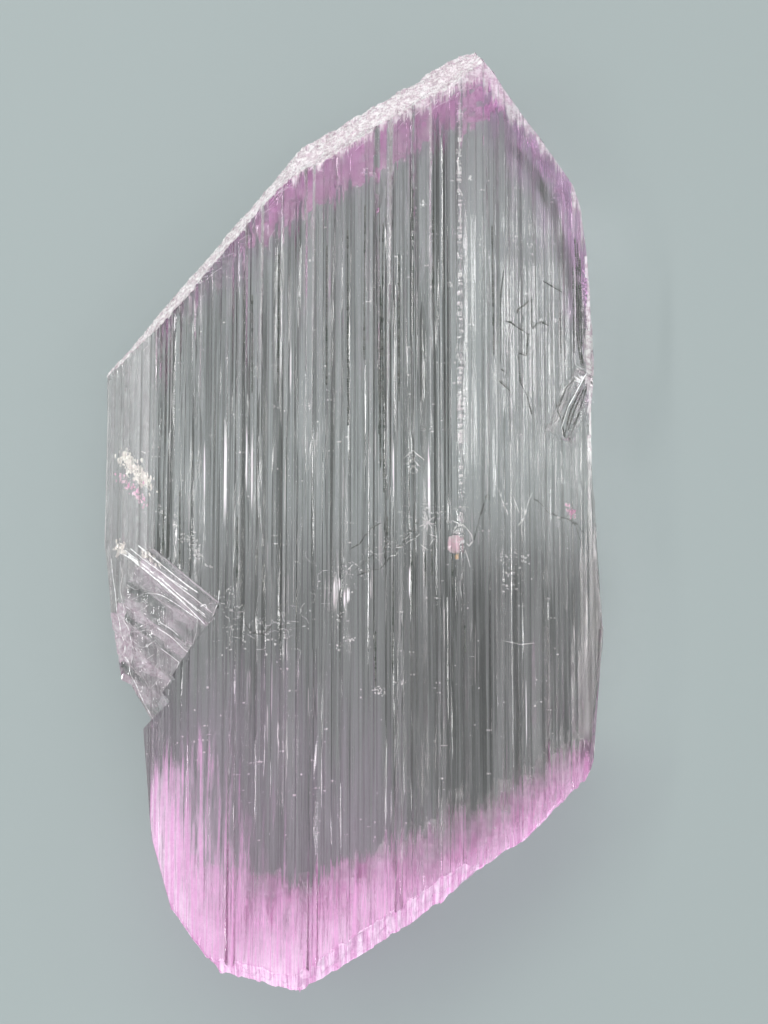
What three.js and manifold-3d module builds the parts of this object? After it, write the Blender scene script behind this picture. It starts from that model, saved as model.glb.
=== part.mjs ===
// A kunzite crystal: the lilac variety of spodumene, a flat, striated blade lying on its back.
// Millimetres. +Z is up, out of the broad front face. +Y runs along the crystal's c axis, towards its
// natural termination. The origin is on the back face, under the middle of the crystal.
import * as THREE from "three";
import { mergeVertices } from "three/addons/utils/BufferGeometryUtils.js";
import Module from "manifold-3d";

const wasm = await Module();
wasm.setup();

// ---- Driving dimensions -------------------------------------------------------------------------
const THICKNESS = 16.5; // back face to front face
const HALF_WIDTH = 30.7; // origin to the left and right edges
const HALF_LENGTH = 57.5; // origin to the apex and to the broken foot
const GIRDLE = 9.6; // height of the sharp edge that runs round the blade
const LEFT_BASE = 2.0; // height where the upright left side turns in to the back face
const PRISM_LEAN = 46.5; // degrees from upright: the prism faces meet at 87 degrees
const RIDGE_X = 13.0; // where the front face bends down to the right-hand face
const RIGHT_FALL = 22; // degrees that the right-hand face falls away from the front face
const SHOULDER_Y = 16.4; // left corner, where the termination meets the left edge
const BROKEN_EDGE_X = -24.0; // left edge below the chip, where the prism edge has broken away
const CUTTER = 400; // side of the block that cuts a face, longer than any face

// ---- Outline: the blade as it is seen from above, anticlockwise from the apex -----------------------
const outline = [
  // natural termination, from the apex down to the left corner
  [15.6, HALF_LENGTH],
  [13.2, HALF_LENGTH],
  [-6.7, 45.4],
  [-HALF_WIDTH, SHOULDER_Y],
  // left prism edge, then the chip that eats into it
  [-HALF_WIDTH, -4.5],
  [-28.7, -18.8],
  [-28.3, -21.2],
  [-27.1, -21.8],
  // broken left edge and the corner at the foot
  [BROKEN_EDGE_X - 0.6, -26.3],
  [BROKEN_EDGE_X, -32.0],
  [BROKEN_EDGE_X + 0.8, -39.6],
  [-20.8, -47.8],
  [-15.1, -55.4],
  // broken foot
  [-10.0, -56.6],
  [-6.0, -HALF_LENGTH],
  [-3.7, -56.6],
  [2.1, -53.2],
  [9.2, -48.6],
  [13.1, -44.9],
  [18.1, -41.2],
  [21.6, -39.9],
  [29.2, -35.7],
  // right edge, slightly waisted, up to the apex
  [HALF_WIDTH, -16.3],
  [29.9, -2.0],
  [29.4, 8.5],
  [30.0, 18.5],
  [29.3, 31.0],
  [28.5, 37.2],
  [27.2, 41.3],
  [21.0, 50.9],
];

// Height at which the right-hand face, falling from the ridge, comes to the right edge.
const RIGHT_GIRDLE = THICKNESS - (HALF_WIDTH - RIDGE_X) * Math.tan(THREE.MathUtils.degToRad(RIGHT_FALL));

// ---- Leaning faces: each runs through the line from A to B at a height, with the crystal on its left,
// and leans in by so many degrees from upright, towards the front (+) or the back (-) ---------------
const faces = [
  // etched termination: two facets towards the front and two behind them
  { a: [13.2, HALF_LENGTH], b: [-6.7, 45.4], height: GIRDLE, lean: 34 },
  { a: [-6.7, 45.4], b: [-HALF_WIDTH, SHOULDER_Y], height: GIRDLE, lean: 22 },
  { a: [13.2, HALF_LENGTH], b: [-6.7, 45.4], height: GIRDLE, lean: -36 },
  { a: [-6.7, 45.4], b: [-HALF_WIDTH, SHOULDER_Y], height: GIRDLE, lean: -12 },
  // right-hand side of the termination
  { a: [28.2, 39.8], b: [15.6, HALF_LENGTH], height: GIRDLE, lean: 12 },
  { a: [28.2, 39.8], b: [15.6, HALF_LENGTH], height: GIRDLE, lean: -13 },
  { a: [29.3, 31.0], b: [28.2, 39.8], height: GIRDLE, lean: -12 },
  // left prism faces, above and below the upright left side
  { a: [-HALF_WIDTH, 0], b: [-HALF_WIDTH, -1], height: GIRDLE, lean: PRISM_LEAN },
  { a: [-HALF_WIDTH, 0], b: [-HALF_WIDTH, -1], height: LEFT_BASE, lean: -PRISM_LEAN },
  // right-hand face, which falls away from the ridge, and the narrow ones behind it
  { a: [RIDGE_X, -1], b: [RIDGE_X, 0], height: THICKNESS, lean: 90 - RIGHT_FALL },
  { a: [HALF_WIDTH, -16.3], b: [30.0, 18.5], height: RIGHT_GIRDLE, lean: -7 },
  { a: [30.0, 18.5], b: [29.3, 31.0], height: RIGHT_GIRDLE, lean: -9 },
  // smooth break on the lower right edge
  { a: [29.2, -35.7], b: [HALF_WIDTH, -16.3], height: RIGHT_GIRDLE, lean: -24 },
  { a: [28.6, -35.7], b: [HALF_WIDTH, -16.3], height: RIGHT_GIRDLE, lean: 30 },
  // broken foot, which runs back under the front face, with a blunt front edge
  { a: [-20.8, -47.8], b: [-15.1, -55.4], height: 12.5, lean: -16 },
  { a: [-15.1, -55.4], b: [-6.0, -HALF_LENGTH], height: 15.0, lean: -34 },
  { a: [-6.0, -HALF_LENGTH], b: [2.1, -53.2], height: 15.0, lean: -31 },
  { a: [2.1, -53.2], b: [13.1, -45.9], height: 15.0, lean: -26 },
  { a: [13.1, -46.1], b: [29.2, -35.7], height: 12.5, lean: -15 },
  { a: [-15.1, -55.4], b: [-6.0, -HALF_LENGTH], height: 15.0, lean: 48 },
  { a: [2.1, -53.2], b: [29.2, -35.7], height: 14.4, lean: 52 },
];

// ---- Chip on the left edge: stepped cleavage, each tread lower than the one above it ----------------
// Each step: the corner where its back wall meets its right-hand end, the height of its tread there and
// the tread's tilt, how far the wall leans from upright, and the wall's heading, all in degrees.
const chipSteps = [
  // a narrow flight of steps, then the broad ones below it
  { corner: [-15.9, -12.6], tread: 15.6, tilt: 3, lean: 34, heading: -39 },
  { corner: [-16.4, -13.7], tread: 14.8, tilt: 3, lean: 32, heading: -38 },
  { corner: [-17.2, -15.0], tread: 13.9, tilt: 4, lean: 30, heading: -39 },
  { corner: [-18.7, -14.6], tread: 12.9, tilt: 4, lean: 28, heading: -32 },
  { corner: [-19.3, -17.9], tread: 11.7, tilt: 5, lean: 26, heading: -33 },
  { corner: [-21.0, -19.3], tread: 10.7, tilt: 6, lean: 24, heading: -36 },
  { corner: [-21.9, -21.3], tread: 9.8, tilt: 7, lean: 24, heading: -39 },
  { corner: [-23.0, -23.6], tread: 8.8, tilt: 8, lean: 24, heading: -42 },
  { corner: [-23.8, -26.2], tread: 7.7, tilt: 9, lean: 22, heading: -45 },
];

// ---- Growth steps: long shallow terraces in the front face. Each starts from nothing at one height
// on the crystal and deepens steadily until it runs out through the termination (+) or the foot (-) --
const GROWTH_RUN = 60; // length over which a terrace reaches its depth
const growthSteps = [
  { x: -22.4, width: 1.1, depth: 0.6, fades: -4.0, runs: 1 },
  { x: -18.6, width: 0.5, depth: 0.5, fades: 2.0, runs: 1 },
  { x: -11.9, width: 1.6, depth: 0.5, fades: -8.0, runs: 1 },
  { x: -5.2, width: 0.6, depth: 0.6, fades: 0.0, runs: 1 },
  { x: 3.7, width: 0.8, depth: 1.1, fades: 0.0, runs: 1 },
  { x: 8.4, width: 1.8, depth: 0.4, fades: -6.0, runs: 1 },
  { x: -14.0, width: 0.6, depth: 0.5, fades: -12.0, runs: -1 },
  { x: -4.5, width: 0.8, depth: 0.5, fades: -18.0, runs: -1 },
  { x: 5.5, width: 0.5, depth: 0.5, fades: -14.0, runs: -1 },
];

// ---- Notch in the right edge, a slanting break with a steep wall ------------------------------------
const notch = { at: [27.5, 12.4], floor: 8.2, turn: 66, tilt: -16, length: 9.0, width: 2.4 };

const front = new THREE.Vector3(0, 0, 1);

// A closed three.js geometry, as placed by a matrix, as a solid for cutting and joining.
function solidOf(geometry, matrix = new THREE.Matrix4()) {
  const placed = (geometry.index ? geometry.toNonIndexed() : geometry.clone()).applyMatrix4(matrix);
  placed.deleteAttribute("normal");
  placed.deleteAttribute("uv");
  const merged = mergeVertices(placed, 1e-4);
  return new wasm.Manifold(
    new wasm.Mesh({
      numProp: 3,
      vertProperties: merged.attributes.position.array,
      triVerts: new Uint32Array(merged.index.array),
    }),
  );
}

// A solid as a three.js geometry, with flat facets.
function geometryOf(solid) {
  const { vertProperties, triVerts } = solid.getMesh();
  const geometry = new THREE.BufferGeometry()
    .setAttribute("position", new THREE.BufferAttribute(vertProperties, 3))
    .setIndex(new THREE.BufferAttribute(triVerts, 1))
    .toNonIndexed();
  geometry.computeVertexNormals();
  return geometry;
}

// A large block whose lower face passes through a point, with its sides along and across a heading.
function blockOver(point, normal, along) {
  const across = new THREE.Vector3().crossVectors(normal, along).normalize();
  const matrix = new THREE.Matrix4()
    .makeBasis(along, across, normal)
    .setPosition(point.clone().addScaledVector(normal, CUTTER / 2));
  return solidOf(new THREE.BoxGeometry(CUTTER, CUTTER, CUTTER), matrix);
}

// The blade's own plate, cut to its outline.
function plate() {
  const shape = new THREE.Shape(outline.map(([x, y]) => new THREE.Vector2(x, y)));
  return solidOf(new THREE.ExtrudeGeometry(shape, { depth: THICKNESS, bevelEnabled: false }));
}

// What one leaning face takes off.
function beyondFace({ a, b, height, lean }) {
  const along = new THREE.Vector3(b[0] - a[0], b[1] - a[1], 0).normalize();
  const outward = new THREE.Vector3().crossVectors(along, front);
  const angle = THREE.MathUtils.degToRad(lean);
  const normal = outward.multiplyScalar(Math.cos(angle)).addScaledVector(front, Math.sin(angle));
  return blockOver(new THREE.Vector3(a[0], a[1], height), normal, along);
}

// What one step of the chip takes off: all above its tread and its leaning back wall.
function chipStep({ corner, tread, tilt, lean, heading }) {
  const rise = THICKNESS;
  const section = new THREE.Shape();
  section.moveTo(0, 0);
  section.lineTo(rise * Math.tan(THREE.MathUtils.degToRad(lean)), rise);
  section.lineTo(-2 * rise, rise);
  section.lineTo(-2 * rise, -2 * rise * Math.tan(THREE.MathUtils.degToRad(tilt)));
  section.closePath();
  const wedge = new THREE.ExtrudeGeometry(section, { depth: 2 * rise, bevelEnabled: false });
  const matrix = new THREE.Matrix4()
    .makeTranslation(corner[0], corner[1], tread)
    .multiply(new THREE.Matrix4().makeRotationZ(THREE.MathUtils.degToRad(heading + 90)))
    .multiply(new THREE.Matrix4().makeRotationX(Math.PI / 2))
    .multiply(new THREE.Matrix4().makeTranslation(0, 0, -2 * rise));
  return solidOf(wedge, matrix);
}

// What one growth step takes off: a flat-bottomed trough, its walls leaning as the prism faces do.
function growthStep({ x, width, depth, fades, runs }) {
  const section = new THREE.Shape();
  section.moveTo(-width / 2, 0);
  section.lineTo(width / 2, 0);
  section.lineTo(width / 2 + 2, 2);
  section.lineTo(-width / 2 - 2, 2);
  section.closePath();
  const trough = new THREE.ExtrudeGeometry(section, { depth: 2 * GROWTH_RUN, bevelEnabled: false });
  const along = new THREE.Vector3(0, runs * GROWTH_RUN, -depth).normalize();
  const across = new THREE.Vector3(-runs, 0, 0);
  const up = new THREE.Vector3().crossVectors(along, across);
  const matrix = new THREE.Matrix4().makeBasis(across, up, along).setPosition(x, fades, THICKNESS);
  return solidOf(trough, matrix);
}

// What the notch takes off.
function notchCut({ at, floor, turn, tilt, length, width }) {
  const matrix = new THREE.Matrix4()
    .makeTranslation(at[0], at[1], floor)
    .multiply(new THREE.Matrix4().makeRotationZ(THREE.MathUtils.degToRad(turn)))
    .multiply(new THREE.Matrix4().makeRotationX(THREE.MathUtils.degToRad(tilt)))
    .multiply(new THREE.Matrix4().makeTranslation(0, 0, THICKNESS / 2));
  return solidOf(new THREE.BoxGeometry(length, width, THICKNESS), matrix);
}

function crystalSolid() {
  let solid = plate();
  for (const face of faces) solid = solid.subtract(beyondFace(face));
  for (const step of chipSteps) solid = solid.subtract(chipStep(step));
  for (const step of growthSteps) solid = solid.subtract(growthStep(step));
  return solid.subtract(notchCut(notch));
}

const kunzite = new THREE.MeshStandardMaterial({
  color: 0xd9c3dc,
  roughness: 0.08,
  metalness: 0,
  transparent: true,
  opacity: 0.55,
});

const crystal = new THREE.Mesh(geometryOf(crystalSolid()), kunzite);
crystal.name = "kunzite_crystal";

const specimen = new THREE.Group();
specimen.add(crystal);

export default specimen;
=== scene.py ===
"""A kunzite crystal: a flat, striated blade of clear lilac spodumene, lying on its back.

Metres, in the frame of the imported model: +Z out of the front face, +Y along the crystal's length.
"""

import math

import bpy
import numpy as np
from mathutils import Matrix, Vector


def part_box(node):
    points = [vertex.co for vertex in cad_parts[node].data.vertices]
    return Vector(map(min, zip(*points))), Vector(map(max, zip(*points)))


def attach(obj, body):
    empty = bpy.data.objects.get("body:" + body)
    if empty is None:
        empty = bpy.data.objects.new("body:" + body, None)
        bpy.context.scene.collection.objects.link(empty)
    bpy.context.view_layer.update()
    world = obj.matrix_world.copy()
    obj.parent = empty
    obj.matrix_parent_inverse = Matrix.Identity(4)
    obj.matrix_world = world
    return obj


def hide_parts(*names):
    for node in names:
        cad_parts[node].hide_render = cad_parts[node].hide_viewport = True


bl_info = {
    "name": "Kunzite Crystal",
    "version": (1, 0, 0),
    "blender": (4, 5, 0),
    "location": "3D View > Sidebar > Kunzite",
    "description": "Grows a striated kunzite blade and the clouds, tubes and grains sealed in it",
    "category": "Object",
}

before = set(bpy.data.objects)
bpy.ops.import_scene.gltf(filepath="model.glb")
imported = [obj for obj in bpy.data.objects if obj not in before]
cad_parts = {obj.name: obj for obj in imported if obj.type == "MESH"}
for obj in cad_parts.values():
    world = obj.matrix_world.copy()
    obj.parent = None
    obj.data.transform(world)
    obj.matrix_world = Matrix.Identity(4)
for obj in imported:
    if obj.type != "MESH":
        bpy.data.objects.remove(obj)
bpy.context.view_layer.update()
NODE = "kunzite_crystal"
MM = 0.001
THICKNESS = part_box(NODE)[1].z / MM  # of the blade, in millimetres
REFRACTIVE_INDEX = 1.664  # of kunzite
FOOT_GLOW = 0.84  # how white the front gets near the foot: painted glow, frosting that stands for light rising from the broken foot
FAR = 50.0  # stands for far from both ends, in millimetres
RIDGE_X = 12.95  # of the ridge between the front face and the right-hand one
STRIATIONS = {"count": 750, "spread": 2.2, "depth": (0.01, 0.085), "half_length": (6, 55)}  # front and back
SIDE_STRIATIONS = {"count": 70, "spread": 1.6, "depth": (0.02, 0.12), "half_length": (10, 50)}
CHIP_HEADING = math.radians(-40)  # of the steps in the chip
CHIP_TURN = np.array(
    [
        [math.cos(CHIP_HEADING), -math.sin(CHIP_HEADING), 0],
        [math.sin(CHIP_HEADING), math.cos(CHIP_HEADING), 0],
        [0, 0, 1],
    ]
)  # turns a row of points so that X runs along the steps
# The healed fracture's course across the blade, and where it sparkles
FRACTURE = np.array(
    [[-17.0, -11.5], [-13.5, -15.5], [-8.5, -16.5], [-3.5, -10.0], [2.0, -6.0], [7.0, -3.2], [13.0, -1.5]]
)
# Feathery cracks: x, y, half width, half length in millimetres, turn from the length in radians, flakes
FEATHERS = (
    (-19.5, -4.7, 0.35, 1.1, 1.0, 40),
    (-18.4, -6.3, 0.3, 0.8, 0.7, 30),
    (-17.0, -7.8, 0.15, 0.5, 1.0, 8),
    (-22.7, -1.2, 0.15, 1.0, 0.5, 14),
    (-20.9, -3.0, 0.15, 0.3, 0.6, 5),
    (-14.3, -10.7, 0.2, 0.4, 0.8, 8),
    (-13.2, -12.9, 0.15, 0.5, 0.3, 7),
    (-13.4, -16.4, 1.4, 1.4, 0.4, 14),
    (-8.8, -15.8, 1.2, 1.4, 1.2, 14),
    (-1.5, -13.9, 0.3, 0.5, 0.3, 9),
    (-1.6, -17.2, 0.3, 0.5, 0.6, 8),
    (-0.5, -16.5, 0.15, 0.9, 1.6, 12),
    (7.2, 4.3, 0.4, 1.2, 0.1, 16),
    (3.2, -22.6, 0.25, 0.8, 1.3, 26),
    (5.6, -21.5, 0.15, 0.8, 1.5, 9),
    (12.4, -3.6, 0.3, 0.45, 1.5, 30),
    (13.3, 12.0, 0.22, 2.2, 0.0, 50),
    (13.1, 16.5, 0.15, 1.0, 0.0, 12),
    (18.5, -8.0, 0.9, 2.6, 0.3, 40),
    (20.2, -6.2, 0.5, 1.0, 0.9, 18),
    (27.9, 16.0, 0.12, 0.6, -0.9, 30),
    (24.9, 23.0, 0.12, 0.3, 1.5, 8),
    (28.9, 26.0, 0.18, 3.6, 0.05, 70),
    (29.4, 13.2, 0.12, 0.5, 1.5, 12),
    (8.5, 36.3, 0.12, 0.5, 0.0, 14),
    (14.2, 39.7, 0.12, 0.35, 0.0, 10),
    (9.6, 26.0, 0.15, 0.3, 0.8, 9),
    (11.8, 26.2, 0.15, 0.3, 0.8, 9),
    (-5.2, 29.3, 0.1, 0.2, 0.5, 4),
    (1.4, 40.2, 0.25, 0.4, 0.4, 12),
    (13.2, 47.3, 0.1, 0.7, 0.0, 14),
)
# Cracks and steps, as lines of X and Y in millimetres: dark and bright ones inside, and the edges of growth
# hills on the surface. The dark lines are painted shade: in the cracks they stand for dark reflections, and
# at the hill edges for the shade of low steps and of the band inside the right-hand edge
SHADED_CRACKS = (
    ((21.8, 0.8), (22.6, 0.3), (23.4, -0.6), (24.9, -1.4), (25.8, -1.5), (27.4, -2.2), (28.3, -3.4)),
    ((16.0, 0.8), (15.1, -1.9), (14.6, -3.7), (14.4, -4.6)),
    ((26.9, -1.8), (27.8, -4.2), (28.0, -6.0)),
    ((-0.2, -5.7), (0.9, -5.1), (1.3, -4.5), (2.3, -3.2), (3.4, -2.6)),
    ((0.4, -8.2), (1.2, -7.6), (1.8, -7.0), (2.7, -6.2)),
    ((0.8, -8.8), (2.3, -8.2), (3.3, -8.1), (3.8, -7.6), (4.3, -6.8), (5.2, -6.3)),
    ((5.2, -6.2), (5.4, -5.4), (5.9, -5.4), (6.1, -4.7), (7.0, -3.8), (8.0, -2.2)),
    ((3.8, -1.9), (3.9, -3.5), (4.2, -4.7), (3.8, -5.9), (3.9, -6.8)),
    ((-12.8, -14.2), (-11.9, -15.6), (-10.4, -15.9), (-9.5, -14.8)),
    ((24.9, 13.2), (25.1, 12.0), (25.6, 10.8)),
    ((25.8, 9.9), (26.2, 8.6), (26.7, 8.2)),
)
BRIGHT_CRACKS = (
    ((6.2, 5.2), (7.2, 6.0), (8.5, 5.0)),
    ((6.6, 4.4), (7.2, 5.0), (8.0, 4.2)),
    ((6.9, 3.7), (7.3, 4.2), (7.8, 3.6)),
    ((6.3, -4.6), (6.9, -4.1)),
    ((6.5, -5.0), (7.4, -4.5), (8.0, -4.0)),
    ((5.2, -5.6), (5.9, -5.5)),
    ((4.5, -6.6), (5.2, -6.5), (5.4, -6.1)),
    ((-0.5, -8.2), (0.1, -7.6)),
    ((-1.0, -6.7), (-1.0, -7.4)),
    ((9.2, -4.0), (10.0, -4.3), (9.6, -4.7), (9.2, -5.3)),
    ((8.2, -5.3), (8.9, -5.8)),
    ((12.0, -2.4), (13.4, -3.1)),
    ((13.6, -3.3), (14.2, -4.0), (14.3, -4.8), (13.9, -5.4), (13.6, -5.1)),
    ((13.4, -5.9), (13.7, -6.8), (14.0, -7.8)),
    ((21.6, 1.2), (21.0, -0.4), (20.6, -1.8), (20.0, -2.6)),
    ((17.6, 1.4), (18.4, -0.8), (18.6, -1.4)),
    ((19.4, 0.6), (20.0, -0.9)),
    ((18.2, -16.6), (20.2, -17.0), (21.6, -16.8)),
    ((25.5, 13.7), (26.2, 14.8), (26.9, 15.6)),
    ((27.4, 16.1), (28.2, 15.7), (29.0, 16.7)),
    ((25.6, 9.6), (26.5, 12.3), (27.4, 13.9), (28.6, 16.1)),
    ((-25.3, 6.2), (-24.7, 5.9)),
)
SHADED_HILL_EDGES = (
    ((23.4, 27.8), (24.4, 27.3), (25.9, 26.6)),
    ((20.1, 23.4), (20.2, 24.1), (20.7, 24.2), (21.6, 25.1)),
    ((21.9, 25.4), (21.9, 21.8)),
    ((18.5, 22.2), (19.0, 22.3), (19.8, 21.8)),
    ((20.0, 21.7), (21.6, 20.8)),
    ((22.0, 21.6), (22.3, 22.1), (23.1, 22.6), (24.1, 22.2)),
    ((20.1, 18.2), (20.1, 18.5), (20.5, 18.4), (21.2, 18.2)),
    ((20.2, 18.1), (20.4, 14.8), (21.2, 13.4), (21.8, 11.0)),
    ((17.8, 14.8), (19.1, 13.7)),
    ((18.0, 16.3), (18.8, 15.8)),
    ((17.9, 17.0), (18.0, 25.4), (18.4, 28.5)),
    ((25.6, 18.9), (25.6, 24.0)),
    ((21.4, 20.8), (21.2, 18.4)),
    ((3.2, 37.5), (3.3, 24.0), (3.2, 8.0)),
    ((3.7, 34.0), (3.6, 22.0), (3.8, 1.0)),
    ((3.4, 26.0), (3.4, 4.0)),
    ((5.6, 30.0), (5.6, 12.0)),
    ((4.2, -1.9), (4.2, -4.2)),
    ((4.9, -9.7), (4.8, -20.5)),
    ((7.1, -6.0), (7.1, -13.5)),
    ((8.7, -6.2), (8.7, -10.2)),
    ((9.5, -5.2), (9.5, -8.9)),
    ((2.8, -15.5), (2.8, -22.0)),
    ((11.9, -6.3), (11.9, -11.5)),
    ((13.3, -14.8), (13.4, -18.0)),
    ((-22.4, -1.0), (-22.4, -6.5)),
    ((-20.5, 1.1), (-20.4, -7.5)),
    ((-13.6, -1.9), (-13.6, -9.8)),
    ((17.0, 34.0), (17.1, 18.0)),
    ((25.1, 11.8), (26.3, 14.8), (28.0, 16.5)),
    ((26.3, 8.9), (26.0, 10.8), (27.0, 13.3), (28.5, 15.7), (29.3, 16.6)),
    ((26.4, 9.4), (27.0, 12.0), (28.2, 14.6)),
    ((26.6, 9.2), (27.4, 11.9), (28.8, 15.0)),
    ((26.8, 8.9), (28.0, 11.8), (29.1, 15.1)),
    ((27.3, 30.0), (27.3, 19.0)),
    ((27.6, 33.5), (27.8, 28.5), (27.7, 21.5), (28.2, 17.6)),
    ((27.9, 33.0), (28.1, 27.0), (28.0, 21.0), (28.5, 17.2)),
    ((28.2, 31.0), (28.3, 26.0), (28.3, 20.0)),
    ((-0.6, 33.0), (-0.5, 9.0)),
    ((-3.1, 31.0), (-3.1, 14.0)),
    ((1.5, 36.0), (1.4, 17.0)),
    ((7.3, 38.0), (7.3, 20.0)),
    ((9.8, 36.0), (9.7, 24.0)),
    ((-8.9, 30.0), (-8.9, 12.0)),
    ((-12.1, 25.0), (-12.0, 13.0)),
)
# Bright bars along the length, painted highlights that stand for glints on the striations: X and Y of the
# middle, half length, half width
GLINT_BARS = (
    (-15.1, 3.2, 6.0, 0.17),
    (-12.6, 5.2, 4.0, 0.10),
    (-11.9, 3.5, 5.2, 0.11),
    (-17.6, 3.5, 3.6, 0.08),
    (-7.4, 16.0, 4.0, 0.06),
    (9.1, 2.4, 4.9, 0.16),
    (-2.0, -11.0, 2.0, 0.17),
    (-0.4, -11.3, 1.0, 0.15),
    (-0.9, -11.7, 1.1, 0.10),
    (-1.5, -10.0, 0.8, 0.08),
    (6.8, -9.7, 1.9, 0.08),
    (4.9, 4.0, 3.4, 0.07),
)
# Bright edges of the chip's cleavage steps, pale lines that are painted highlights for their glints: half
# width, then X and Y of each point, in millimetres
CHIP_GLINTS = (
    (
        0.09,
        (-28.2, -5.9), (-26.7, -6.6), (-24.7, -8.2), (-22.6, -9.9),
        (-20.8, -11.4), (-19.3, -12.8), (-17.2, -15.0),
    ),
    (0.06, (-27.0, -6.2), (-24.7, -7.8), (-22.6, -9.4), (-20.8, -11.0), (-18.9, -12.6), (-17.4, -13.8)),
    (0.05, (-27.5, -5.6), (-25.1, -7.4), (-22.9, -9.0), (-21.2, -10.6), (-19.2, -12.2), (-17.5, -13.5)),
    (0.06, (-26.7, -5.5), (-24.2, -7.4), (-21.5, -9.3), (-19.5, -10.6)),
    (0.05, (-27.3, -5.9), (-23.0, -9.5), (-19.8, -12.2)),
    (0.04, (-24.5, -7.0), (-21.0, -9.9), (-17.9, -12.2)),
    (0.05, (-22.0, -9.0), (-19.0, -11.3), (-16.6, -13.3)),
    (0.03, (-26.0, -6.6), (-21.9, -10.0), (-18.3, -13.1)),
    (0.06, (-17.2, -15.0), (-16.6, -13.8), (-15.8, -12.0), (-15.7, -10.7)),
    (0.08, (-25.6, -5.2), (-23.4, -7.0), (-21.4, -8.6), (-19.5, -10.1), (-18.3, -10.9)),
    (0.08, (-18.0, -12.5), (-17.4, -12.2), (-17.2, -12.7)),
    (0.07, (-24.6, -10.8), (-23.1, -11.0), (-22.1, -11.5), (-20.7, -12.4), (-19.3, -13.4), (-18.5, -13.9)),
    (0.03, (-18.5, -13.9), (-18.6, -15.5), (-19.3, -17.8)),
    (0.06, (-23.5, -15.0), (-22.4, -15.6), (-21.4, -16.4), (-20.4, -17.5), (-19.5, -18.1), (-19.1, -17.8)),
    (0.05, (-23.2, -14.3), (-21.8, -15.1), (-20.9, -15.9)),
    (0.05, (-23.2, -17.4), (-22.2, -18.1), (-20.9, -19.1), (-21.5, -20.6)),
    (0.03, (-21.5, -20.6), (-22.5, -21.6), (-23.1, -23.2), (-23.5, -24.3), (-24.3, -26.3)),
    (
        0.05,
        (-29.5, -6.5), (-29.2, -8.8), (-28.8, -10.8), (-28.5, -13.1),
        (-28.2, -15.4), (-27.7, -17.3), (-28.0, -18.2),
    ),
    (
        0.05,
        (-28.0, -18.2), (-27.3, -18.9), (-27.3, -20.4), (-26.5, -21.8),
        (-25.4, -24.3), (-24.8, -25.5), (-24.3, -26.3),
    ),
    (
        0.03,
        (-28.2, -7.0), (-27.8, -8.5), (-28.1, -10.4), (-27.6, -12.4),
        (-27.9, -13.9), (-27.2, -15.0), (-26.5, -18.7),
    ),
    (0.02, (-27.2, -9.8), (-26.0, -10.5), (-24.8, -9.8)),
    (0.02, (-26.6, -11.6), (-25.7, -11.2), (-24.6, -10.5)),
    (0.02, (-27.4, -12.4), (-26.1, -13.3), (-24.5, -12.2)),
    (0.02, (-27.5, -13.9), (-26.3, -15.1), (-24.2, -14.1)),
    (0.02, (-27.2, -15.4), (-25.7, -15.4), (-24.8, -15.1), (-24.0, -15.4)),
    (0.02, (-27.1, -16.2), (-25.5, -17.4), (-23.8, -16.4)),
    (0.02, (-26.5, -17.3), (-25.5, -18.9), (-24.1, -18.1)),
    (0.02, (-25.9, -19.3), (-24.9, -20.4), (-23.7, -19.3)),
    (0.02, (-25.6, -20.8), (-24.8, -22.4), (-23.5, -21.0)),
)
# Flaws near the surface, of flat flakes: the name, the spots as X, Y, reach along and aside in millimetres
# and number of flakes, and the two colours
FLAWS = (
    ("amber_flaws", ((12.5, -6.7, 0.12, 0.15, 14),), ((0.90, 0.66, 0.42), (0.80, 0.52, 0.34))),
    (
        "cream_flaws",
        (
            (-27.2, 5.0, 0.9, 0.5, 200),
            (-25.3, 3.0, 1.0, 0.4, 170),
            (-28.2, -5.3, 0.5, 0.4, 70),
            (-24.0, -6.9, 0.8, 0.2, 36),
        ),
        ((0.99, 0.97, 0.91), (0.98, 0.91, 0.87)),
    ),
    (
        "pink_flaws",
        (
            (-28.0, 2.9, 0.5, 0.4, 18),
            (-25.6, 0.8, 0.9, 0.25, 40),
            (-26.8, 2.4, 1.0, 0.5, 16),
            (26.7, -0.7, 0.5, 0.25, 24),
        ),
        ((0.93, 0.50, 0.72), (0.97, 0.80, 0.88)),
    ),
)
# Where fine hairs hang from the etched termination
HAIRY_EDGE = np.array([[14.0, 51.5], [-5.5, 41.5], [-19.0, 25.8]])
# Lines that bound the front face, in millimetres; the crystal lies to their left
LEFT_TERMINATION = ((15.6, 57.5), (-6.7, 45.4))
LOWER_TERMINATION = ((-6.7, 45.4), (-30.7, 16.4))
RIGHT_TERMINATION = ((28.2, 39.8), (15.6, 57.5))
FOOT_LEFT = ((-20.0, -57.5), (0.0, -57.5))
FOOT_RIGHT = ((2.1, -53.2), (29.2, -35.7))
FOOT_CORNER = ((-27.6, -34.0), (-18.6, -58.0))
CHIP_LEFT = ((-29.6, -6.5), (-28.1, -18.4))
RIGHT_EDGE = ((30.0, 14.0), (28.3, 39.0))


# ---- Helpers for pieces --------------------------------------------------------------------------


def deselect_all():
    if bpy.context.object and bpy.context.object.mode != "OBJECT":
        bpy.ops.object.mode_set(mode="OBJECT")
    bpy.ops.object.select_all(action="DESELECT")


def make_active(piece):
    deselect_all()
    piece.select_set(True)
    bpy.context.view_layer.objects.active = piece


def points_of(mesh):
    """A mesh's points, in millimetres, one row each."""
    flat = np.empty(len(mesh.vertices) * 3)
    mesh.vertices.foreach_get("co", flat)
    return flat.reshape(-1, 3) / MM


def set_points(mesh, points):
    mesh.vertices.foreach_set("co", (points * MM).ravel())
    mesh.update()


# ---- Noise, the same on every run ----------------------------------------------------------------


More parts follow.
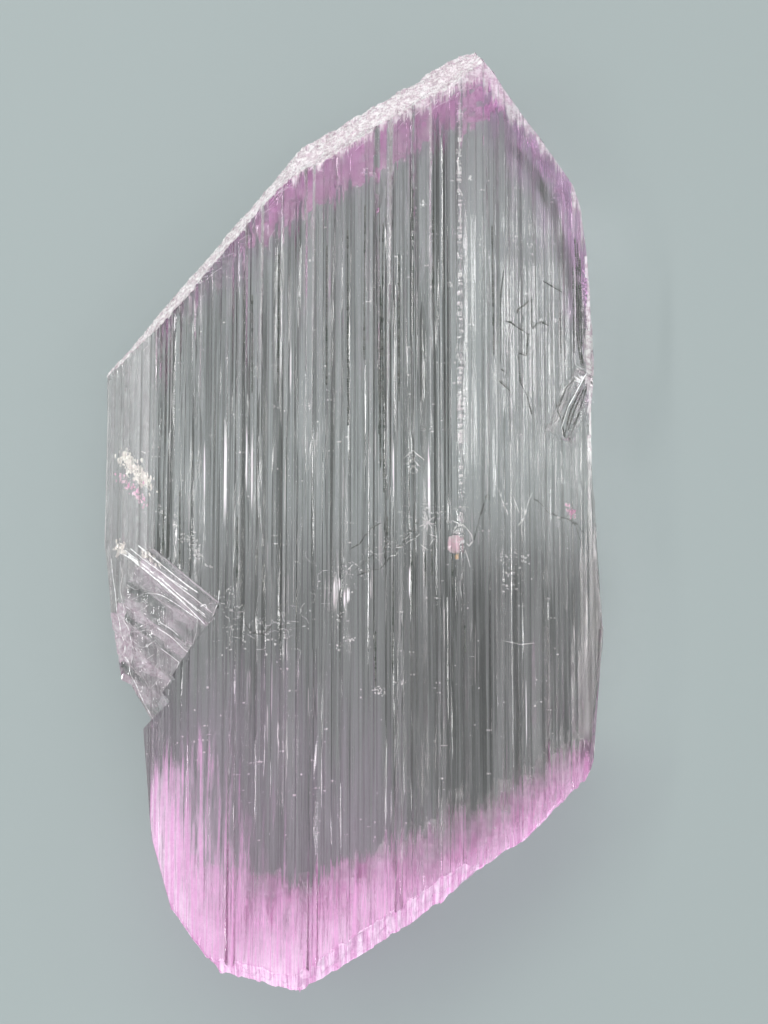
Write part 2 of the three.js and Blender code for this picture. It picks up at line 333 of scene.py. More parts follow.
def hashed(*cells, seed=0):
    """A number from 0 to 1 for each whole-numbered cell."""
    mixed = np.full(np.shape(cells[0]), seed * 7919 + 17, np.uint64)
    for cell, prime in zip(cells, (73856093, 19349663, 83492791)):
        mixed ^= np.asarray(cell).astype(np.int64).astype(np.uint64) * np.uint64(prime)
        mixed *= np.uint64(0x9E3779B97F4A7C15)
        mixed ^= mixed >> np.uint64(29)
    return (mixed >> np.uint64(11)).astype(float) / float(1 << 53)


def smooth_noise(points, size, seed=0):
    """Noise from -1 to 1 that changes over size, a number or one number for each axis."""
    scaled = points / np.asarray(size, float)
    cell = np.floor(scaled)
    part = scaled - cell
    part = part * part * (3 - 2 * part)
    total = np.zeros(len(points))
    for dx in (0, 1):
        for dy in (0, 1):
            for dz in (0, 1):
                corner = hashed(cell[:, 0] + dx, cell[:, 1] + dy, cell[:, 2] + dz, seed=seed)
                weight = (
                    (part[:, 0] if dx else 1 - part[:, 0])
                    * (part[:, 1] if dy else 1 - part[:, 1])
                    * (part[:, 2] if dz else 1 - part[:, 2])
                )
                total += weight * corner
    return 2 * total - 1


# ---- Materials -----------------------------------------------------------------------------------


def new_material(name):
    material = bpy.data.materials.new(name)
    material.use_nodes = True
    material.node_tree.nodes.clear()
    return material


class Graph:
    """A material's node tree, with short ways to add nodes and join them."""

    def __init__(self, tree):
        self.tree = tree

    def add(self, kind, settings=None, **inputs):
        node = self.tree.nodes.new(kind)
        for name, value in (settings or {}).items():
            setattr(node, name, value)
        for name, value in inputs.items():
            self.feed(node, int(name[1:]) if name[0] == "_" else name.replace("_", " "), value)
        return node

    def feed(self, node, name, value):
        """Joins a socket to an input, or sets the input; a colour is given as red, green and blue."""
        socket = node.inputs[name]
        if isinstance(value, bpy.types.NodeSocket):
            self.tree.links.new(value, socket)
        elif socket.type == "RGBA":
            socket.default_value = (*value, 1)
        else:
            socket.default_value = value

    def maths(self, operation, first, second=0.0, third=0.0):
        node = self.add("ShaderNodeMath", {"operation": operation}, _0=first, _1=second, _2=third)
        return node.outputs[0]

    def total(self, *terms):
        """The sum of values, each times its weight."""
        result = 0.0
        for value, weight in terms:
            result = self.maths("MULTIPLY_ADD", value, weight, result)
        return result

    def product(self, first, *others):
        for other in others:
            first = self.maths("MULTIPLY", first, other)
        return first

    def most(self, first, *others):
        for other in others:
            first = self.maths("MAXIMUM", first, other)
        return first

    def ramp(self, value, low, high, start=0.0, end=1.0):
        """value, mapped smoothly from low-high to start-end."""
        node = self.add(
            "ShaderNodeMapRange", {"interpolation_type": "SMOOTHSTEP"},
            Value=value, From_Min=low, From_Max=high, To_Min=start, To_Max=end,
        )
        return node.outputs["Result"]

    def noise(self, vector, scale, detail=2.0, roughness=0.5, stretch=None):
        if stretch:
            mapping = self.add("ShaderNodeMapping", None, Vector=vector, Scale=stretch)
            vector = mapping.outputs["Vector"]
        node = self.add(
            "ShaderNodeTexNoise", None, Vector=vector, Scale=scale, Detail=detail, Roughness=roughness
        )
        return node.outputs["Fac"]

    def blend(self, factor, first, second):
        node = self.add("ShaderNodeMix", {"data_type": "RGBA"})
        self.feed(node, 0, factor)
        self.feed(node, 6, first)
        self.feed(node, 7, second)
        return node.outputs[2]


def new_group(name, inputs, outputs):
    """An empty node group with named sockets: its graph, the values it is given, and its output node."""
    tree = bpy.data.node_groups.new(name, "ShaderNodeTree")
    for label, kind in inputs.items():
        tree.interface.new_socket(label, in_out="INPUT", socket_type=kind)
    for label in outputs:
        tree.interface.new_socket(label, in_out="OUTPUT", socket_type="NodeSocketFloat")
    graph = Graph(tree)
    return graph, graph.add("NodeGroupInput").outputs, graph.add("NodeGroupOutput")


def grain_group():
    """Mottling and fine relief of an etched or broken surface, its grains Size metres across; the mottle
    follows the relief, so a surface that takes both gets painted shade in its hollows.
    """
    tree = bpy.data.node_groups.get("grain")
    if tree:
        return tree
    inputs = {"Place": "NodeSocketVector", "Size": "NodeSocketFloat"}
    graph, given, result = new_group("grain", inputs, ("Mottle", "Height"))
    scale = graph.maths("DIVIDE", 1.0, given["Size"])
    coarse = graph.noise(given["Place"], graph.maths("MULTIPLY", scale, 0.3), 1.0)
    fine = graph.noise(given["Place"], scale, 2.0, 0.7)
    graph.feed(result, "Mottle", graph.ramp(graph.maths("ADD", coarse, fine), 0.8, 1.2))
    graph.feed(result, "Height", graph.total((coarse, 2.0), (fine, 1.0)))
    return graph.tree


def growth_lines_group():
    """Striations finer than the modelled ones: where painted shade makes them dark, and their relief."""
    tree = bpy.data.node_groups.get("growth_lines")
    if tree:
        return tree
    graph, given, result = new_group("growth_lines", {"Place": "NodeSocketVector"}, ("Dark", "Height"))
    lines = graph.noise(given["Place"], 1.0, 3.0, 0.6, stretch=(2600.0, 14.0, 300.0))
    fine = graph.noise(given["Place"], 1.0, 2.0, 0.6, stretch=(9000.0, 30.0, 900.0))
    graph.feed(result, "Dark", graph.ramp(lines, 0.37, 0.51, 1.0, 0.0))
    graph.feed(result, "Height", graph.total((lines, 0.6), (fine, 0.4)))
    return graph.tree


class KunziteGraph(Graph):
    """The crystal's node tree, with the noises and measures that its colours share."""

    def __init__(self, tree, sizes):
        super().__init__(tree)
        self.sizes = sizes
        self.place = self.add("ShaderNodeTexCoord").outputs["Object"]
        self.x, self.y, _ = self.add("ShaderNodeSeparateXYZ", None, Vector=self.place).outputs
        self.read = {
            name: self.add("ShaderNodeAttribute", {"attribute_name": name}).outputs["Fac"]
            for name in ("riser", "rough", "white", "streaked", "cleaved", "from_top", "from_foot")
        }
        self.drift = self.noise(self.place, 1.0, 3.0, 0.6, stretch=(420.0, 160.0, 160.0))
        self.hairs = self.noise(self.place, 1.0, 2.0, 0.7, stretch=(1500.0, 60.0, 60.0))
        self.threads = self.noise(self.place, 1.0, 3.0, 0.7, stretch=(3600.0, 110.0, 110.0))

    def hill_steps(self):
        """Edges of the low growth hills on the right-hand face."""
        hills = self.noise(self.place, 1.0, 2.0, 0.5, stretch=(420.0, 170.0, 170.0))
        height = self.maths("FRACT", self.maths("MULTIPLY", hills, 9.0))
        right = self.product(
            self.ramp(self.x, 0.0150, 0.0185),
            self.ramp(self.y, 0.006, 0.015),
            self.ramp(self.y, 0.034, 0.028),
        )
        return self.product(self.ramp(height, 0.0, 0.10), right)

    def tint(self, lines_shade):
        """Colour of the clear surface: dark striations and risers, which are painted shade, a darker lower
        middle and a dark band inside the termination's right-hand side, which are painted shade too, and
        lilac towards the termination and the foot, where the pink streaks rising up the front are painted
        glow.
        """
        sizes, read, x = self.sizes, self.read, self.x
        # Painted shade: the fine striations and the steep risers between flats are darkened.
        dark = self.most(self.product(lines_shade, 0.72), self.ramp(read["riser"], 0.05, 0.42))
        # Painted shade: below the healed fracture the clear surface is tinted darker, more so to the right,
        # with long dark lines.
        below = self.ramp(self.total((self.y, 1.0), (self.hairs, 0.008)), 0.008, -0.008)
        below = self.product(below, self.ramp(x, -0.004, 0.016, 0.8, 1.0))
        long_lines = self.noise(self.place, 1.0, 3.0, 0.6, stretch=(1700.0, 22.0, 200.0))
        deep = self.product(self.ramp(long_lines, 0.50, 0.60), self.ramp(x, 0.0, 0.012, 0.15, 0.85), below)
        colour = self.blend(below, sizes.middle, sizes.lower)
        colour = self.blend(self.most(dark, deep), colour, sizes.painted_shade)

        from_top = self.total((read["from_top"], 1.0), (self.drift, -5.0), (self.hairs, -4.0))
        near_top = self.product(self.ramp(from_top, 3.6, -2.8), self.ramp(self.drift, 0.35, 0.58, 0.6, 1.0))
        top = self.blend(self.ramp(x, 0.012, 0.020), sizes.top, sizes.corner)
        colour = self.blend(near_top, colour, top)

        # Painted shade: a dark band about 5 mm inside the right-hand side of the termination, for the back
        # bevel seen through the crystal.
        inset = self.total((read["from_top"], 1.0), (self.drift, 1.6))
        rim = self.product(
            self.ramp(inset, 4.3, 4.9), self.ramp(inset, 6.8, 5.6),
            self.ramp(x, 0.0175, 0.0215), self.ramp(self.hairs, 0.35, 0.6, 0.5, 1.0),
        )
        colour = self.blend(rim, colour, sizes.painted_shade)
        # Painted glow: pink streaks rising up the front from the foot.
        from_foot = self.total((read["from_foot"], 1.0), (self.hairs, -42.0))
        return self.blend(self.ramp(from_foot, 8.0, -10.0, 0.0, 0.5), colour, sizes.foot_glow_tint)

    def frosting(self, mottle):
        """Colour of the frosted surfaces: pale grains with painted shade in the hollows between them, and
        pink streaks at the foot, which up the front are painted glow.
        """
        sizes, read = self.sizes, self.read
        frosted = self.blend(mottle, sizes.frost_hollows, sizes.frost)
        streaks = self.ramp(self.maths("ADD", self.hairs, self.threads), 0.85, 1.15)
        pink = self.blend(streaks, sizes.foot, sizes.streaks)
        inland = self.total((read["from_foot"], 1.0), (self.drift, -8.0))
        strength = self.product(read["streaked"], self.ramp(inland, -9.0, -4.0, 0.65, 1.0))
        return self.blend(strength, frosted, pink)

    def frost_and_glow_share(self):
        """How frosted the surface is: creeping up the front from the foot as painted glow, in lines on the
        chip's walls.
        """
        read, hairs, threads = self.read, self.hairs, self.threads
        climb = self.total((read["from_foot"], 1.0), (hairs, -24.0), (threads, -20.0), (self.drift, -9.0))
        turned = self.add("ShaderNodeMapping", None, Vector=self.place, Rotation=(0, 0, -CHIP_HEADING))
        cleavage = self.noise(turned.outputs["Vector"], 1.0, 3.0, 0.6, stretch=(90.0, 2400.0, 1200.0))
        drip = self.total((read["from_top"], 1.0), (hairs, -5.0), (threads, -3.0))
        return self.most(
            read["white"],
            self.product(self.ramp(cleavage, 0.50, 0.64), read["cleaved"]),
            self.ramp(climb, -16.0, -29.0, 0.0, FOOT_GLOW),
            self.ramp(drip, -2.0, -3.4, 0.0, 0.55),
        )


def kunzite_material(sizes):
    """The crystal: clear, with fine growth lines and deeper colour at its ends, and white where frosted."""
    material = new_material("clear_kunzite")
    graph = KunziteGraph(material.node_tree, sizes)
    place, read = graph.place, graph.read
    lines = graph.add("ShaderNodeGroup", {"node_tree": growth_lines_group()}, Place=place).outputs
    relief = graph.total((lines["Height"], 1.0), (graph.hill_steps(), 3.0))
    bump = graph.add("ShaderNodeBump", None, Strength=0.35, Distance=0.00008, Height=relief)
    clear = graph.add(
        "ShaderNodeBsdfPrincipled", None, Base_Color=graph.tint(lines["Dark"]),
        Roughness=graph.ramp(read["rough"], 0.0, 1.0, 0.012, 0.4),
        Normal=bump.outputs["Normal"], Transmission_Weight=1.0, IOR=REFRACTIVE_INDEX,
    )

    grains = graph.add("ShaderNodeGroup", {"node_tree": grain_group()}, Place=place, Size=sizes.grain).outputs
    uneven = graph.add(
        "ShaderNodeBump", None, Strength=0.8, Distance=0.25 * sizes.grain, Height=grains["Height"]
    )
    white = graph.add(
        "ShaderNodeBsdfPrincipled", None, Base_Color=graph.frosting(grains["Mottle"]),
        Roughness=graph.ramp(grains["Mottle"], 0.0, 1.0, 0.2, 0.4),
        Normal=uneven.outputs["Normal"], IOR=REFRACTIVE_INDEX,
    )
    skin = graph.add("ShaderNodeMixShader", None, Fac=graph.frost_and_glow_share())
    graph.feed(skin, 1, clear.outputs["BSDF"])
    graph.feed(skin, 2, white.outputs["BSDF"])

    screened = graph.most(read["white"], graph.ramp(read["from_foot"], 10.5, -2.5, 0.0, FOOT_GLOW))
    let_in = graph.blend(screened, sizes.shadow, sizes.frost_shadow)
    lit_through = graph.add("ShaderNodeBsdfTransparent", None, Color=let_in)
    sight = graph.add("ShaderNodeLightPath")
    surface = graph.add("ShaderNodeMixShader", None, Fac=sight.outputs["Is Shadow Ray"])
    graph.feed(surface, 1, skin.outputs["Shader"])
    graph.feed(surface, 2, lit_through.outputs["BSDF"])
    volume = graph.add("ShaderNodeVolumeAbsorption", None, Color=sizes.lilac, Density=sizes.depth_of_colour)
    graph.add(
        "ShaderNodeOutputMaterial", None, Surface=surface.outputs["Shader"], Volume=volume.outputs["Volume"]
    )
    return material


def inclusion_material(name, colour, other, roughness):
    """A pale, mottled solid for what is sealed in the crystal."""
    material = new_material(name)
    graph = Graph(material.node_tree)
    place = graph.add("ShaderNodeTexCoord").outputs["Object"]
    grains = graph.add("ShaderNodeGroup", {"node_tree": grain_group()}, Place=place, Size=0.6 * MM).outputs
    shader = graph.add(
        "ShaderNodeBsdfPrincipled", None, Base_Color=graph.blend(grains["Mottle"], colour, other),
        Roughness=graph.ramp(grains["Mottle"], 0.0, 1.0, roughness, roughness + 0.2),
    )
    graph.add("ShaderNodeOutputMaterial", None, Surface=shader.outputs["BSDF"])
    return material


# ---- Sizes ---------------------------------------------------------------------------------------


class KunziteBladeSizes(bpy.types.PropertyGroup):
    """The blade's surface and its colour."""

    seed: bpy.props.IntProperty(name="Seed", description="Which pattern of striations grows", default=11)
    columns: bpy.props.IntProperty(
        name="Striations", description="Number of flats side by side over the width",
        default=215, min=20, max=300,
    )
    depth_of_colour: bpy.props.FloatProperty(
        name="Depth of colour", description="How fast light is absorbed on its way through",
        default=0.7, min=0,
    )
    lilac: bpy.props.FloatVectorProperty(
        name="Lilac", description="Colour of light after a long way through",
        default=(0.86, 0.20, 0.80), min=0, max=1, subtype="COLOR", size=3,
    )
    middle: bpy.props.FloatVectorProperty(
        name="Middle", description="Tint of the clear middle's surface",
        default=(0.90, 0.89, 0.87), min=0, max=1, subtype="COLOR", size=3,
    )
    # Painted shade: the darker tint of the lower middle.
    lower: bpy.props.FloatVectorProperty(
        name="Lower middle", description="Tint of the clear surface below the healed fracture",
        default=(0.64, 0.61, 0.60), min=0, max=1, subtype="COLOR", size=3,
    )
    # Painted shade: tint of the darkest striations and of the band inside the right-hand edge.
    painted_shade: bpy.props.FloatVectorProperty(
        name="Dark lines", description="Tint of the darkest striations",
        default=(0.12, 0.12, 0.11), min=0, max=1, subtype="COLOR", size=3,
    )
    top: bpy.props.FloatVectorProperty(
        name="Termination", description="Tint behind the etched termination",
        default=(0.62, 0.33, 0.58), min=0, max=1, subtype="COLOR", size=3,
    )
    corner: bpy.props.FloatVectorProperty(
        name="Corner", description="Tint behind the right-hand side of the termination",
        default=(0.98, 0.42, 0.94), min=0, max=1, subtype="COLOR", size=3,
    )
    foot: bpy.props.FloatVectorProperty(
        name="Foot", description="Palest colour of the frosting at the broken foot",
        default=(0.98, 0.70, 0.93), min=0, max=1, subtype="COLOR", size=3,
    )
    # Painted glow: pink of the streaks that rise up the front from the foot.
    foot_glow_tint: bpy.props.FloatVectorProperty(
        name="Blush", description="Tint of the streaks that rise from the foot",
        default=(0.96, 0.66, 0.90), min=0, max=1, subtype="COLOR", size=3,
    )
    grain: bpy.props.FloatProperty(
        name="Grain", description="Size of the grains of frosted surfaces",
        default=0.00022, min=0.00002, unit="LENGTH",
    )
    # Painted shade: the darker colour in the hollows between the grains.
    frost_hollows: bpy.props.FloatVectorProperty(
        name="Frost hollows", description="Colour between the grains of frosted surfaces",
        default=(0.66, 0.55, 0.59), min=0, max=1, subtype="COLOR", size=3,
    )
    streaks: bpy.props.FloatVectorProperty(
        name="Streaks", description="Colour of the darker streaks on the broken foot",
        default=(0.76, 0.38, 0.66), min=0, max=1, subtype="COLOR", size=3,
    )
    frost: bpy.props.FloatVectorProperty(
        name="Frost", description="Palest colour of the etched and broken surfaces",
        default=(0.99, 0.97, 0.96), min=0, max=1, subtype="COLOR", size=3,
    )
    shadow: bpy.props.FloatVectorProperty(
        name="Shadow", description="Share of light that one surface lets into the shadow",
        default=(0.90, 0.90, 0.91), min=0, max=1, subtype="COLOR", size=3,
    )
    frost_shadow: bpy.props.FloatVectorProperty(
        name="Frost's shadow", description="Share of light that a frosted surface lets into the shadow",
        default=(0.74, 0.66, 0.72), min=0, max=1, subtype="COLOR", size=3,
    )


class KunziteInclusionSizes(bpy.types.PropertyGroup):
    """What is sealed in the crystal."""

    specks: bpy.props.IntProperty(
        name="Specks", description="Number of pale grains under the front face", default=520, min=0
    )
    trails: bpy.props.IntProperty(
        name="Trails", description="Number of trails in the healed fracture", default=46, min=0
    )
    needles: bpy.props.IntProperty(
        name="Tubes", description="Number of growth tubes along the length", default=46, min=0
    )


class KunziteStageSizes(bpy.types.PropertyGroup):
    """The floor, lights and camera."""

    floor_colour: bpy.props.FloatVectorProperty(
        name="Floor", description="Colour of the floor",
        default=(0.33, 0.37, 0.37), min=0, max=1, subtype="COLOR", size=3,
    )
    horizon: bpy.props.FloatVectorProperty(
        name="Horizon", description="Light from low down, all round",
        default=(0.20, 0.22, 0.22), min=0, subtype="COLOR", size=3,
    )
    zenith: bpy.props.FloatVectorProperty(
        name="Zenith", description="Light from overhead",
        default=(0.80, 0.85, 0.85), min=0, subtype="COLOR", size=3,
    )
    lens: bpy.props.FloatProperty(name="Lens", description="Camera's focal length in mm", default=57.0, min=1)


# ---- The blade -----------------------------------------------------------------------------------


def flats_and_risers(rng, count, low, high, narrow):
    """The two sides of each flat, from low to high: flats with narrow risers between them."""
    flat = rng.lognormal(-1.55, 0.75, count).clip(0.07, 1.5)
    riser = rng.uniform(*narrow, count)
    widths = np.column_stack([flat, riser]).ravel()
    widths *= (high - low) / widths.sum()
    return low + np.cumsum(widths)[:-1]


def terraces(rng, across, along, lines, count, spread, depth, half_length):
    """Depth of the pattern at each point: long terraces that overlap, tapering to nothing at their ends."""
    total = np.zeros(len(across))
    flats = len(lines) // 2
    for _ in range(count):
        start = rng.integers(1, flats - 2)
        width = int(rng.geometric(1 / spread))
        end = min(flats - 1, start + width - 1)
        centre, reach = rng.uniform(-60, 60), rng.uniform(*half_length)
        amount = rng.uniform(*depth) / width**0.3
        low, high = lines[2 * start - 1] - 1e-4, lines[min(2 * end, len(lines) - 1)] + 1e-4
        inside = (across >= low) & (across <= high)
        fade = (1 - np.abs(along[inside] - centre) / reach).clip(0)
        total[inside] += amount * fade ** (0.45 if width < 3 else 1.0)
    return total


def bisect_all(normal, places):
    """Cuts the whole mesh in edit mode by a plane at each place, in millimetres, along one axis."""
    axis = Vector(normal)
    for place in places:
        bpy.ops.mesh.select_all(action="SELECT")
        bpy.ops.mesh.bisect(plane_co=axis * place * MM, plane_no=axis)


def faces_of(mesh):
    """The outward normal of each face, and its middle in millimetres."""
    both = []
    for name, scale in (("normal", 1), ("center", 1 / MM)):
        flat = np.empty(len(mesh.polygons) * 3)
        mesh.polygons.foreach_get(name, flat)
        both.append(flat.reshape(-1, 3) * scale)
    return both


def subdivide_faces(piece, chosen, cuts):
    mesh = piece.data
    bpy.context.tool_settings.mesh_select_mode = (False, False, True)
    mesh.vertices.foreach_set("select", np.zeros(len(mesh.vertices), bool))
    mesh.edges.foreach_set("select", np.zeros(len(mesh.edges), bool))
    mesh.polygons.foreach_set("select", chosen)
    bpy.ops.object.mode_set(mode="EDIT")
    bpy.ops.mesh.subdivide(number_cuts=cuts)
    bpy.ops.object.mode_set(mode="OBJECT")


def kinds_of_face(mesh):
    """Which faces belong to each part of the blade: the flats, ridge, termination, sides, foot and chip."""
    normals, middle = faces_of(mesh)
    nx, ny, nz = normals.T
    x, y, z = middle.T
    in_chip = (x < -14.5) & (y < -2) & (y > -29) & (x * 0.669 + y * 0.743 < -19.5)
    chip = in_chip & (z < 16.3) & (nz > 0.15) & ~((nx < -0.68) & (np.abs(ny) < 0.02))
    front = (nz > 0.8) & ~chip
    turned = normals @ CHIP_TURN
    return {
        "front": front,
        "crest": front & (np.abs(x - RIDGE_X) < 0.6) & (y > -12),
        "back": nz < -0.9,
        "etched": (ny > 0.3) & (nz > 0.1) & (nx < 0.1) & (y > 12),
        "bevel": (ny > 0.3) & (nz < 0.8) & ((nz < -0.1) | (nx > 0.1)) & (y > 12),
        "prism": (nx < -0.6) & (nz > 0.6) & (np.abs(ny) < 0.1) & ~chip,
        "side": (np.abs(ny) < 0.3) & (nz > -0.9) & (nz < 0.8) & ~chip,
        "foot": (ny < -0.3) & (y < -30),
        "rim": (ny < -0.3) & (y < -30) & (nz > 0.3),
        "chip": chip,
        "wall": chip & (nz < 0.93) & (np.abs(turned[:, 1]) > np.abs(turned[:, 0])),
    }


def rising(value, start, end):
    """0 up to the start, 1 from the end on, and a straight climb between; it can also run downwards."""
    return np.clip((value - start) / (end - start), 0, 1)


def new_attribute(mesh, name, domain, values):
    mesh.attributes.new(name, "FLOAT", domain).data.foreach_set("value", values)


def share_at_points(mesh, chosen):
    """For each point, the share of its triangles that is chosen."""
    corners = np.empty(len(mesh.polygons) * 3, int)
    mesh.polygons.foreach_get("vertices", corners)
    corners = corners.reshape(-1, 3)
    count = len(mesh.vertices)
    total = np.bincount(corners.ravel(), minlength=count).clip(1)
    return np.bincount(corners[chosen].ravel(), minlength=count) / total


def normals_at_points(mesh):
    flat = np.empty(len(mesh.vertices) * 3)
    mesh.vertices.foreach_get("normal", flat)
    return flat.reshape(-1, 3)


def beyond(points, first, second):
    """How far points lie to the right of the line from first to second, seen from the front."""
    along = np.subtract(second, first) / np.hypot(*np.subtract(second, first))
    return (points[:, 0] - first[0]) * along[1] - (points[:, 1] - first[1]) * along[0]


class KUNZITE_OT_blade(bpy.types.Operator):
    """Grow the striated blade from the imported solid"""

    bl_idname = "kunzite.blade"
    bl_label = "Blade"

    def execute(self, context):
        sizes = context.scene.kunzite_blade
        rng = np.random.default_rng(sizes.seed)
        blade = bpy.data.objects.new("kunzite_blade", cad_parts[NODE].data.copy())
        context.collection.objects.link(blade)
        make_active(blade)
        half_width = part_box(NODE)[1].x / MM
        lines = flats_and_risers(rng, sizes.columns, -half_width, half_width, (0.05, 0.17))
        levels = flats_and_risers(rng, 14, 0, THICKNESS, (0.03, 0.1))
        rows = np.arange(-56.9, 57.3, 2.2)
        rows += rng.uniform(-0.4, 0.4, len(rows))
        bpy.ops.object.mode_set(mode="EDIT")
        bpy.ops.mesh.select_all(action="SELECT")
        bpy.ops.mesh.remove_doubles(threshold=0.002 * MM)
        bpy.ops.mesh.select_all(action="SELECT")
        bpy.ops.mesh.dissolve_limited(angle_limit=math.radians(0.2))
        bisect_all((1, 0, 0), np.concatenate([lines, np.arange(RIDGE_X - 0.6, RIDGE_X + 0.61, 0.2)]))
        bisect_all((0, 1, 0), rows)
        bisect_all((0, 0, 1), levels)
        bpy.ops.object.mode_set(mode="OBJECT")
        for kind, cuts in (("chip", 1), ("etched", 2), ("crest", 3), ("foot", 1), ("rim", 1)):
            subdivide_faces(blade, kinds_of_face(blade.data)[kind], cuts)
        bpy.ops.object.mode_set(mode="EDIT")
        bpy.ops.mesh.select_all(action="SELECT")
        bpy.ops.mesh.quads_convert_to_tris()
        bpy.ops.object.mode_set(mode="OBJECT")
        blade.data.materials.clear()
        blade.data.materials.append(kunzite_material(sizes))
        self.carve(blade.data, rng, lines, levels)
        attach(blade, "root")
        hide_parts(NODE)
        return {"FINISHED"}

    def carve(self, mesh, rng, lines, levels):
        """Moves the mesh's points: striations, ridge, etched grain, splinters and the chip's fine steps."""
        points = points_of(mesh)
        kinds = kinds_of_face(mesh)
        share = {kind: share_at_points(mesh, chosen) for kind, chosen in kinds.items()}
        x, y, z = points.T
        moved = points.copy()
        strength = 0.8 + 0.8 * np.maximum(rising(y, -22, 8), 0.6 * rising(x, 2, 12))
        strength *= 1 - 0.45 * rising(y, -34, -42)
        front = terraces(rng, x, y, lines, **STRIATIONS) * strength
        back = terraces(rng, x, y, lines, **STRIATIONS) * strength
        side = terraces(rng, z, y, levels, **SIDE_STRIATIONS)
        crest = np.exp(-(((x - RIDGE_X - self.sway_of_ridge(y)) / 0.22) ** 2)) * rising(y, -14, -4)
        beads = 0.7 + 0.3 * smooth_noise(points, (9.0, 0.35, 9.0), 9)
        moved[:, 2] -= np.minimum(share["front"] * 2, 1) * (front + 0.22) * (1 - 0.95 * crest * beads)
        moved[:, 2] += np.minimum(share["back"] * 2, 1) * back

        grain = hashed(*np.floor(points / 0.09).T, seed=7) - 0.5
        pitted = 0.16 * smooth_noise(points, 0.45, 3) + 0.26 * smooth_noise(points, 1.9, 4) + 0.26 * grain
        moved[:, 1] -= share["etched"] * (0.28 + pitted)
        moved[:, 2] -= share["etched"] * (0.10 + 0.5 * pitted)

        splinter = smooth_noise(points, (0.45, 30.0, 2.2), 5) + 0.6 * smooth_noise(points, (0.3, 9.0, 0.9), 6)
        crumb = 0.25 * smooth_noise(points, (0.8, 0.8, 0.8), 10) + 0.1 * grain
        moved[:, 1] += share["foot"] * (0.3 + crumb + rising(z, 13, 0) * (0.9 + 1.9 * splinter))
        moved[:, 2] -= share["rim"] * (0.15 + 0.8 * np.abs(crumb))
        moved[:, 1] += share["rim"] * (0.25 + 0.3 * smooth_noise(points, 0.6, 30))

        etch = 0.16 * smooth_noise(points, 1.9, 24) + 0.07 * smooth_noise(points, 0.6, 25) + 0.12
        inward = share["side"] * side + share["bevel"] * etch
        moved -= inward[:, None] * normals_at_points(mesh)
        fold = np.abs(x + 26.2 + 0.5 * smooth_noise(points, 2.4, 11)) * 0.95 + y
        chevron = np.abs((fold / 1.5) % 1 - 0.5) * 2
        ripple = 0.32 * (chevron - 1) * rising(x, -21.5, -23.5)
        moved[:, 2] += share["chip"] * (ripple - 0.12 * np.abs(crumb))
        set_points(mesh, moved)
        self.measure(mesh, points, kinds, share)
        self.frost_faces(mesh, kinds)

    def measure(self, mesh, points, kinds, share):
        """Writes what the colours follow: steep risers, roughness, and distance from the two ends in mm."""
        x, y, _ = points.T
        on_front = share["front"] > 0
        left = beyond(points, *LEFT_TERMINATION) + 3.6
        lower = beyond(points, *LOWER_TERMINATION) + 1.0 - 3.5 * rising(x, -13, -21)
        right = beyond(points, *RIGHT_TERMINATION) - 0.5 + 2.0 * rising(y, 43, 49)
        edge = beyond(points, *RIGHT_EDGE) - 0.4 - 0.2 * (39 - y)
        from_top = -np.maximum.reduce([left, lower, right, edge])
        corner = np.minimum(beyond(points, *FOOT_CORNER), -1.5 * (y + 37.5))
        from_foot = -np.maximum.reduce([beyond(points, *FOOT_RIGHT), beyond(points, *FOOT_LEFT), corner])
        from_foot *= 1 + 3.3 * rising(x, 3, 15)
        from_foot -= 3.5 * rising(x, 0, -8) + 6 * rising(x, 3, 15)
        normals, middle = faces_of(mesh)
        riser = np.abs(normals[:, 0]) * kinds["front"] * ~kinds["crest"] * (middle[:, 0] < RIDGE_X)
        rough = np.clip(0.1 * share["chip"] + 0.3 * share["foot"] + 0.4 * share["etched"], 0, 1)
        new_attribute(mesh, "rough", "POINT", rough)
        new_attribute(mesh, "from_top", "POINT", np.where(on_front, from_top, FAR))
        new_attribute(mesh, "from_foot", "POINT", np.where(on_front, from_foot, FAR))
        new_attribute(mesh, "riser", "FACE", riser)

    def sway_of_ridge(self, y):
        """How far the ridge's crest wanders sideways, in mm."""
        place = np.column_stack([np.zeros(len(y)), y, np.zeros(len(y))])
        return 0.16 * smooth_noise(place, 2.1, 8) + 0.08 * smooth_noise(place, 0.8, 12)

    def frost_faces(self, mesh, kinds):
        """Says how white each etched, chipped or broken face is, and which are streaked; white on the ridge's
        crest and along the right-hand edge is a painted highlight, and pink streaks on the front near the
        foot are painted glow.
        """
        normals, middle = faces_of(mesh)
        x, y, z = middle.T
        white = np.zeros(len(middle))

        def frost(chosen, values):
            white[chosen] = np.broadcast_to(values, len(white))[chosen]

        frost(kinds["etched"], 0.68)
        # Painted highlight: white along the ridge's crest stands for its sparkle.
        width = 0.05 + 0.09 * smooth_noise(middle, (9.0, 1.7, 9.0), 13)
        width += 0.06 * smooth_noise(middle, (9.0, 0.5, 9.0), 16)
        sparkle = kinds["crest"] & (np.abs(x - RIDGE_X - self.sway_of_ridge(y)) < width)
        frost(sparkle, 0.45 + 0.35 * smooth_noise(middle, (9.0, 0.8, 9.0), 17))

        streak = smooth_noise(middle, (0.35, 12.0, 3.0), 14)
        streak += 0.5 * smooth_noise(middle, (1.2, 20.0, 6.0), 15)
        thin = 0.6 * rising(x, 2, 10) * rising(z, 10, 0)
        frost(kinds["foot"], np.where(kinds["rim"], 0.9, 0.3 + 0.09 * z + 0.45 * streak - thin))

